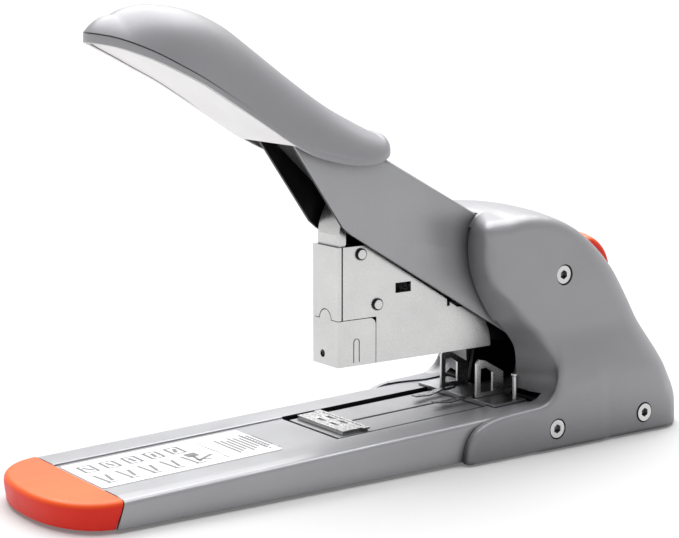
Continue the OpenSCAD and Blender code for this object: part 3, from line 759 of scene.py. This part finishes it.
def make_grip():
    """The hollow cover: a dome over a lower band, with a fine groove between them."""
    def band(y):
        return 2.6 + 1.2 * smoothstep(50, 10, y)

    plan, inner = grip_outline(), grip_outline(GRIP_T)
    foot = grip_rim(plan[:, 1])
    depth = 0.04 + 0.5 * smoothstep(70, 20, plan[:, 1])[:, None]
    groove = plan + (grip_outline(1) - plan) * depth
    outside = [
        np.column_stack([inner, grip_rim(inner[:, 1]) + 0.1]),
        np.column_stack([grip_outline(0.5), foot]),
        np.column_stack([grip_outline(0.12), foot + 0.15]),
        np.column_stack([plan, foot + 0.5]),
        np.column_stack([plan, foot + band(plan[:, 1]) - 0.55]),
        np.column_stack([groove, foot + band(plan[:, 1]) - 0.35]),
        np.column_stack([groove, foot + band(plan[:, 1]) - 0.1]),
    ]
    outside += grip_rings(0, band, 26)
    inside = grip_rings(GRIP_T, lambda y: 2.2 + 0 * y, 14)
    rings = inside[::-1] + outside
    n = len(plan)
    faces = [[i * n + k, i * n + (k + 1) % n, (i + 1) * n + (k + 1) % n, (i + 1) * n + k]
             for i in range(len(rings) - 1) for k in range(n)]
    grip = outward(mesh_object("grip_cover", np.vstack(rings), faces))
    arm_room = [(80, 100), (80, 155), (160, 110.1), (160, 100)]
    combine(grip, [prism("arm_room", arm_room, -ARM_HALF - 0.3, ARM_HALF + 0.3)])
    finish(grip, "handle", SHELL, ["grip_shell"], sharp=32)


def make_insert():
    """The pale dished panel under the grip."""
    across, along, thick = 24, 44, 1.4
    inset = 0.5
    start, end = GRIP_TIP + inset, 86.0
    half = GRIP_HALF - inset
    stations = start + (end - start) * (1 - np.cos(np.linspace(0, math.pi / 2, along + 1)))
    width = half * np.sqrt(np.clip(1 - (1 - np.clip((stations - start) / 36, 0, 1)) ** 2, 0, 1))
    width[0] = 1.2
    rows = []
    for lift in (0, thick):
        for y, w in zip(stations, width):
            x = np.linspace(-w, w, across + 1)
            dish = 3.6 * (w / half) * (1 - (x / w) ** 2) ** 1.2 * smoothstep(84, 50, y)
            rows.append(np.column_stack([x, np.full_like(x, y), grip_rim(y) - 0.15 + dish + lift]))
    m = across + 1
    layer = (along + 1) * m
    faces = []
    for i in range(along):
        for k in range(across):
            a = i * m + k
            faces.append([a, a + 1, a + m + 1, a + m])
            faces.append([layer + a, layer + a + m, layer + a + m + 1, layer + a + 1])
        for k in (0, across):
            a = i * m + k
            faces.append([a, a + m, layer + a + m, layer + a])
    for i in (0, along):
        for k in range(across):
            a = i * m + k
            faces.append([a, a + 1, layer + a + 1, layer + a])
    panel = outward(mesh_object("grip_underside", np.vstack(rows), faces))
    finish(panel, "handle", PALE, ["grip_insert"])


make_grip()
make_insert()


# ---- base -------------------------------------------------------------------------------

def make_channel():
    """The folded steel base, with its recessed top strip and the opening for the anvil."""
    bend, deep, ease, drop = 2.5, 24, 7, 0.28
    outer = [(BASE_HALF, -deep)] + arc((BASE_HALF - bend, -bend - drop), bend, 0, 84, 7).tolist()
    outer += [(BASE_HALF - ease, 0), (RECESS_HALF + 0.9, 0), (RECESS_HALF + 0.35, -0.2),
              (RECESS_HALF, -0.9), (RECESS_HALF - 0.4, -1)]
    inner = [(RECESS_HALF - 0.4, -1 - BASE_T), (RECESS_HALF + BASE_T, -1 - BASE_T),
             (RECESS_HALF + BASE_T, -BASE_T), (BASE_HALF - 4, -BASE_T - 0.15)]
    inner += arc((BASE_HALF - 4, -BASE_T - 2.65), 2.5, 80, 0, 5).tolist() + [(BASE_HALF - BASE_T, -deep)]
    loop = outer + [(-x, z) for x, z in outer[::-1] + inner[::-1]] + inner
    base = solid("base_body", [(x, y, z) for y in (-6, 272) for x, z in loop], on_top)
    seam = [(-30, -5), (-5, -5), (-3.5, 0), (0, BASE_H), (0, BASE_H + 5), (-30, BASE_H + 5)]
    cutters = [
        block("floor", (-60, -20, -40), (60, 300, 0)),
        prism("seam", seam, -60, 60),
        block("opening", (-RECESS_HALF - 0.6, 106, -6), (RECESS_HALF + 0.6, 252, 2), on_top),
    ]
    cutters += [block("corner", (low, 268.2, -30), (high, 300, 60)) for low, high in both_sides(34.4, 60)]
    combine(base, cutters)
    finish(base, "base", PAINT, ["base_channel"])
    # The cut side walls of the anvil opening take blackened steel as painted shade, for the dark of a
    # deeper slot.
    base.data.materials.append(BLACK)
    for face in base.data.polygons:
        if abs(abs(face.center.x) - (RECESS_HALF + 0.6) * MM) < 0.02 * MM:
            face.material_index = 1
    soften(base, 0.22)


make_channel()


def flat_marks(name, boxes, height, thick):
    """Thin raised patches on the base top: boxes are (x, y, width, length, turn in degrees)."""
    vertices, faces = [], []
    for x, y, w, l, turn in boxes:
        c, s = math.cos(math.radians(turn)), math.sin(math.radians(turn))
        corners = [(x + u * c - v * s, y + u * s + v * c)
                   for u, v in ((-w / 2, -l / 2), (w / 2, -l / 2), (w / 2, l / 2), (-w / 2, l / 2))]
        a = len(vertices)
        vertices += [(u, v, height + h) for h in (0, thick) for u, v in corners]
        faces += [[a + 3, a + 2, a + 1, a], [a + 4, a + 5, a + 6, a + 7]]
        faces += [[a + k, a + (k + 1) % 4, a + 4 + (k + 1) % 4, a + 4 + k] for k in range(4)]
    marks = mesh_object(name, on_top(vertices), faces)
    return finish(marks, "base", INK)


def make_label():
    """White label with plain grey loading pictures and no lettering."""
    x0, x1, y0, y1, r = -19, 17, 1.5, 81.5, 1.5
    left, right, front, rear = x0 + r, x1 - r, y0 + r, y1 - r
    corners = [((right, front), -90), ((right, rear), 0), ((left, rear), 90), ((left, front), 180)]
    edge = np.vstack([arc(c, r, a, a + 90, 5) for c, a in corners])
    sheet = solid("label_sheet", [(x, y, z) for z in (-1.0, -0.78) for x, y in edge], on_top)
    finish(sheet, "base", LABEL, ["label_plate"])
    marks = []
    for k in range(5):
        y = 6 + 9.6 * k
        marks += [(-9, y, 9, 1.3, 0), (-9, y + 5.2, 9, 1.3, 0), (-13.4, y + 2.6, 0.9, 5.2, 0),
                  (-4.6, y + 2.6, 0.9, 5.2, 0), (-9, y + 2.6, 5.5, 1.6, 30 - 12 * k)]
        marks += [(6, y + 0.6, 12, 1.3, 6), (6, y + 3.8, 9, 1.4, -8), (12, y + 2.4, 1, 4.5, 0)]
    marks += [(0.5, 49, 5.2, 5.2, 0), (6.5, 52, 1.6, 9, 28), (8.5, 50, 1.2, 6, -20)]
    for k in range(12):
        marks.append((-11.5 + 2.1 * k, 59, 1.1, 1.1, 0))
        marks.append((-11.5 + 2.1 * k, 78.5, 1.1, 1.1, 0))
    for k in range(9):
        marks.append((-12.6, 60.5 + 2.1 * k, 0.45, 1.1, 0))
        marks.append((12.6, 65.5 + 2.1 * k, 0.45, 1.1, 0))
        marks.append((0, 66 + 2.0 * k, 21 - 3 * (k % 3), 1.1, 0))
    flat_marks("label_print", marks, -0.79, 0.03)


make_label()


# ---- handle arm -------------------------------------------------------------------------

def make_arm():
    """The folded lever arm: grey outside, with its inner faces below the web in the black steel material.
    """
    outline = np.vstack([[(88, 134), (113.4, 97.6), (117, 94.6), (200, 44.7)],
                         arc((203, 56), 11.7, -105, -20, 8), arc(HANDLE_PIVOT, 8, -10, 60, 8),
                         [(133.6, 124.8), (97, 145.3)]])
    arm = prism("arm_channel", outline, -ARM_HALF, ARM_HALF)
    rear, front = row([(0, 217, 78.9)])[0], row([(0, 97, 145.3)])[0]
    slope = (front[2] - rear[2]) / (front[1] - rear[1])

    def below_web(point):
        return rear[2] + slope * (point.y - rear[1]) - point.z

    work = bmesh.new()
    work.from_mesh(arm.data)
    rims = [e for e in work.edges if abs(e.verts[0].co.x - e.verts[1].co.x) < 1e-6]
    ridge = [e for e in rims
             if e.calc_length() > 5 * MM and all(abs(below_web(v.co)) < 1.2 * MM for v in e.verts)]
    rims = [e for e in rims if e not in ridge]
    bmesh.ops.bevel(work, geom=ridge, offset=2.2 * MM, segments=6, affect="EDGES", profile=0.5)
    rims = [e for e in rims if e.is_valid]
    bmesh.ops.bevel(work, geom=rims, offset=0.55 * MM, segments=3, affect="EDGES", profile=0.5)
    work.to_mesh(arm.data)
    work.free()
    hollow = [(70, 158.2), (199, 85.9), (199, 110), (240, 110), (240, 0), (70, 0)]
    cutters = [prism("hollow", hollow, -ARM_HALF + ARM_T, ARM_HALF - ARM_T),
               rod("bore", HANDLE_PIVOT, 4.06, -20, 20)]
    combine(arm, cutters)
    finish(arm, "handle", PAINT, ["handle_arm"])
    arm.data.materials.append(BLACK)
    for face in arm.data.polygons:
        if abs(face.center.x) < (ARM_HALF - 0.6) * MM and below_web(face.center) > 1 * MM:
            face.material_index = 1


make_arm()


# ---- springs and staples ----------------------------------------------------------------

def coil(centre, along, first, r, length, turns):
    """Points of a helix that starts at centre and winds along an axis."""
    a = np.linspace(0, 2 * math.pi * turns, 28 * turns + 1)[:, None]
    along, first = np.array(along, float), np.array(first, float)
    second = np.cross(along, first)
    rise = length * a / a[-1]
    return np.array(centre, float) + along * rise + r * (np.cos(a) * first + np.sin(a) * second)


def frame_body(node):
    """The CAD body that a node rides on."""
    return frame["nodes"][node]["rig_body"]


def make_springs():
    """The handle's torsion spring, and two small springs that shorten with their joints."""
    handle = coil((-6, *HANDLE_PIVOT), (1, 0, 0), (0, 1, 0), 5.8, 12, 6)
    finish(tube("torsion_spring", handle, 0.8), "base", SPRING, ["handle_spring"], 60)
    pusher = coil((0, 163.5, 49), (0, 1, 0), (1, 0, 0), 2.6, 24.4, 12)
    spring = tube("feed_spring", pusher, 0.42)
    finish(spring, frame_body("pusher_spring"), SPRING, ["pusher_spring"], 60)
    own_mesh(spring)
    press = coil((0, 0, 0), (0, 0, 1), (1, 0, 0), 4, 7.4, 4)
    spring = tube("button_return_spring", in_button_frame(press + (0, 0, -13.9)), 0.5)
    finish(spring, frame_body("button_spring"), SPRING, ["button_spring"], 60)
    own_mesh(spring)


def make_staples():
    """A stick of separate staples, glued side by side."""
    half, low, high, wire = 6.5, 41.6, 58.3, 0.8
    pitch, first, last = 0.92, 116.6, 158
    profile = [(-half, low), (-half, high - 0.5), (-half + 0.5, high), (half - 0.5, high),
               (half, high - 0.5), (half, low), (half - wire, low + 0.35), (half - wire, high - wire),
               (-half + wire, high - wire), (-half + wire, low + 0.35)]
    n = len(profile)
    vertices, faces = [], []
    for k in range(int((last - first) / pitch)):
        y = first + pitch * k
        if 119 < y < 133:
            ends = [(x, max(z, 43.9)) for x, z in profile]
        else:
            ends = profile
        a = len(vertices)
        vertices += [(x, v, z) for v in (y, y + pitch - 0.07) for x, z in ends]
        faces += [[a + i for i in range(n)], [a + n + i for i in range(n)][::-1]]
        faces += [[a + i, a + n + i, a + n + (i + 1) % n, a + (i + 1) % n] for i in range(n)]
    stick = outward(mesh_object("staples", vertices, faces))
    finish(stick, frame_body("staple_stick"), WIRE, ["staple_stick"])


make_springs()
make_staples()


# ---- magazine ---------------------------------------------------------------------------

def cad_copy(node, name):
    """A closed copy of a CAD node, to be cut further."""
    obj = frame["nodes"][node].copy()
    obj.data = obj.data.copy()
    obj.name = obj.data.name = name
    obj.parent = None
    for key in list(obj.keys()):
        del obj[key]
    if "custom_normal" in obj.data.attributes:
        obj.data.attributes.remove(obj.data.attributes["custom_normal"])
    bpy.context.scene.collection.objects.link(obj)
    return outward(obj)


def make_magazine():
    """Side plates with the open seam behind the front plate, black strips in it as painted shadow, and
    proud rivet heads in black rings of painted shade.
    """
    seam = MAG_FRONT + 1.8
    for node, name in (("magazine_channel", "side_plates"), ("driver_guide_plate", "front_plate")):
        obj = cad_copy(node, name)
        near = 7.6 if name == "front_plate" else 7.4
        combine(obj, [block("lug", (low, 112, PLATE_FOOT), (high, seam + 0.7, 92))
                      for low, high in both_sides(near, 10)])
        if name == "front_plate":
            face = block("face", (-MAG_HALF, MAG_FRONT, PLATE_FOOT), (MAG_HALF, seam, PLATE_TOP))
            back = block("back", (1 - MAG_HALF, MAG_FRONT + 1.1, PLATE_FOOT - 1),
                         (MAG_HALF - 1, 116, PLATE_TOP + 1))
            notch = prism("notch", arc((0, DRAWER_TOP), 4.4, 0, 352.5, 47), 112, 117,
                          lambda points: np.asarray(points)[:, [1, 0, 2]])
            combine(face, [back, notch])
            combine(obj, [face], "UNION")
        soften(obj, 0.12)
        finish(obj, "magazine", NICKEL, [node])
    # Black strips in the seam groove are painted shadow for the dark gap.
    seam_shadow_strips = [block("strip", (low, seam + 0.05, PLATE_FOOT), (high, seam + 0.65, PLATE_TOP - 0.4))
              for low, high in both_sides(7.6, MAG_HALF - 0.1)]
    strip = combine(seam_shadow_strips[0], seam_shadow_strips[1:], "UNION")
    finish(strip, "magazine", BLACK)
    # Black rings around the rivet heads are painted shade for their shadowed dimples.
    collars = [rod("collar", at, 2.45, s * 8.4, s * 9.7) for at in RIVETS for s in (-1, 1)]
    collar = combine(collars[0], collars[1:], "UNION")
    finish(collar, "magazine", BLACK)
    heads = [rod("head", at, 2.05, s * 9.6, s * 10.1) for at in RIVETS for s in (-1, 1)]
    head = combine(heads[0], heads[1:], "UNION")
    soften(head, 0.15)
    finish(head, "magazine", NICKEL, ["guide_rivets"])


def make_drawer_head():
    """The pull-out head: a rounded rear corner and a shallow arched bead on each side."""
    head = cad_copy("drawer_head", "drawer_cover")
    corner = [(133, 55.7)] + arc((129.3, 55.7), 3, 0, 90, 8).tolist() + [(129.3, 60), (133, 60)]
    cutters = [prism("corner", corner, -12, 12)]
    bead = np.vstack([[(121, 41)], arc((122.6, 49.4), 1.6, 180, 0, 10), [(124.2, 41), (123.75, 41)],
                      arc((122.6, 49.4), 1.15, 0, 180, 10), [(121.45, 41)]])
    cutters += [prism("bead", bead, *span) for span in both_sides(8.55, 10)]
    combine(head, cutters)
    soften(head, 0.1)
    finish(head, "drawer", NICKEL, ["drawer_head"])


make_magazine()
make_drawer_head()


# ---- CAD nodes that keep their shape ----------------------------------------------------

CARRIED = {
    "bottom_plate": (BLACK, "black_steel", 0.2),
    "rubber_feet": (RUBBER, "rubber", 0.4),
    "anvil_tongue": (PAINT, "grey_paint", 0.12),
    "anvil_plate": (NICKEL, "nickel", 0.12),
    "tongue_rivets": (ZINC, "zinc", 0.2),
    "side_frame_left": (BLACK, "black_steel", 0.25),
    "side_frame_right": (BLACK, "black_steel", 0.25),
    "frame_rivets": (ZINC, "zinc", 0.25),
    "frame_spacer": (ZINC, "zinc", 0.15),
    "handle_pivot_pin": (ZINC, "zinc", 0.2),
    "magazine_pivot_pin": (ZINC, "zinc", 0.2),
    "pivot_bushes": (BRASS, "brass", 0.1),
    "housing_screws": (NICKEL, "nickel", 0.25),
    "button_bracket": (BLACK, "black_steel", 0.2),
    "driver_lever": (DARK, "black_steel", 0.3),
    "lever_pins": (ZINC, "zinc", 0.2),
    "grip_screws": (ZINC, "zinc", 0.2),
    "magazine_carrier": (BLACK, "black_steel", 0.15),
    "drawer_latch": (SPRING, "spring_steel", 0.1),
    "staple_driver": (NICKEL, "nickel", 0.15),
    "staple_rail": (ZINC, "zinc", 0.12),
    "spring_rod": (ZINC, "zinc", 0.1),
    "staple_pusher": (DARK, "dark_plastic", 0.15),
    "stop_slider": (ZINC, "zinc", 0.12),
    "stop_uprights": (NICKEL, "nickel", 0.15),
    "stop_posts": (NICKEL, "nickel", 0.15),
    "stop_leaf_spring": (SPRING, "spring_steel", 0.08),
}

for node, (look, slot, width) in CARRIED.items():
    carry(node, look, width)


def darken_sockets():
    """Painted shade inside the hexagon sockets of the housing screws, in the spring steel material."""
    mesh = frame["nodes"]["housing_screws"].data
    mesh.materials.append(SPRING)
    centres = row([(0, *at) for at in (HANDLE_PIVOT, *LOWER_SCREWS)])[:, 1:]
    lower_front, pivot_front = SKIRT_HALF - 0.2, WAIST_HALF - 0.6
    for face in mesh.polygons:
        across = np.hypot(*(centres - np.array(face.center[1:])).T)
        k = int(across.argmin())
        front = pivot_front if k == 0 else lower_front
        if across[k] < 2.02 * MM and (front - 2.2) * MM < abs(face.center.x) < (front - 0.02) * MM:
            face.material_index = 1


darken_sockets()


# ---- studio -----------------------------------------------------------------------------

def make_stage():
    """A plain pale floor."""
    size = 16.0
    mesh = bpy.data.meshes.new("studio_floor")
    corners = [(-size, -size, 0), (size, -size, 0), (size, size, 0), (-size, size, 0)]
    mesh.from_pydata(corners, [], [(0, 1, 2, 3)])
    floor = bpy.data.objects.new("studio_floor", mesh)
    bpy.context.scene.collection.objects.link(floor)
    look = Look("pale_floor", 0.9)
    look.shader.inputs["Base Color"].default_value = (0.5, 0.5, 0.5, 1)
    look.shader.inputs["Emission Color"].default_value = (1, 1, 1, 1)
    look.shader.inputs["Emission Strength"].default_value = 0.15
    mesh.materials.append(look.material)


def make_lights():
    """A high-key tent: soft light from above, a bright horizon and a darker sky."""
    world = bpy.data.worlds.new("studio")
    bpy.context.scene.world = world
    world.use_nodes = True
    tree = world.node_tree
    background = tree.nodes["Background"]
    place = tree.nodes.new("ShaderNodeTexCoord")
    split = tree.nodes.new("ShaderNodeSeparateXYZ")
    ramp = tree.nodes.new("ShaderNodeValToRGB")
    tree.links.new(place.outputs["Generated"], split.inputs["Vector"])
    tree.links.new(split.outputs["Z"], ramp.inputs["Fac"])
    tree.links.new(ramp.outputs["Color"], background.inputs["Color"])
    stops = ((0.0, 0.8), (0.2, 0.75), (0.45, 0.25), (1.0, 0.25))
    for k, (place_z, level) in enumerate(stops):
        stop = ramp.color_ramp.elements[k] if k < 2 else ramp.color_ramp.elements.new(place_z)
        stop.position = place_z
        stop.color = (level, level, level, 1)
    key = bpy.data.lights.new("key", "SUN")
    key.energy, key.angle = 5.8, math.radians(75)
    lamp = bpy.data.objects.new("key", key)
    lamp.rotation_euler = (math.radians(-14), math.radians(-20), 0)
    bpy.context.scene.collection.objects.link(lamp)
    bpy.context.scene.view_settings.view_transform = "Standard"


def make_camera():
    """The camera solved from the base's straight edges."""
    eye = (0.5987, -0.4311, 0.2012)
    data = bpy.data.cameras.new("camera")
    data.lens, data.sensor_width = 96.2, 36
    camera = bpy.data.objects.new("camera", data)
    heading, pitch = math.radians(54.92), math.radians(9.39)
    level = math.cos(pitch)
    forward = Vector((-math.sin(heading) * level, math.cos(heading) * level, -math.sin(pitch)))
    right = Vector((math.cos(heading), math.sin(heading), 0))
    up = right.cross(forward)
    turn = Matrix((right, up, -forward)).transposed()
    camera.matrix_world = Matrix.Translation(eye) @ turn.to_4x4()
    bpy.context.scene.collection.objects.link(camera)
    bpy.context.scene.camera = camera


make_stage()
make_lights()
make_camera()
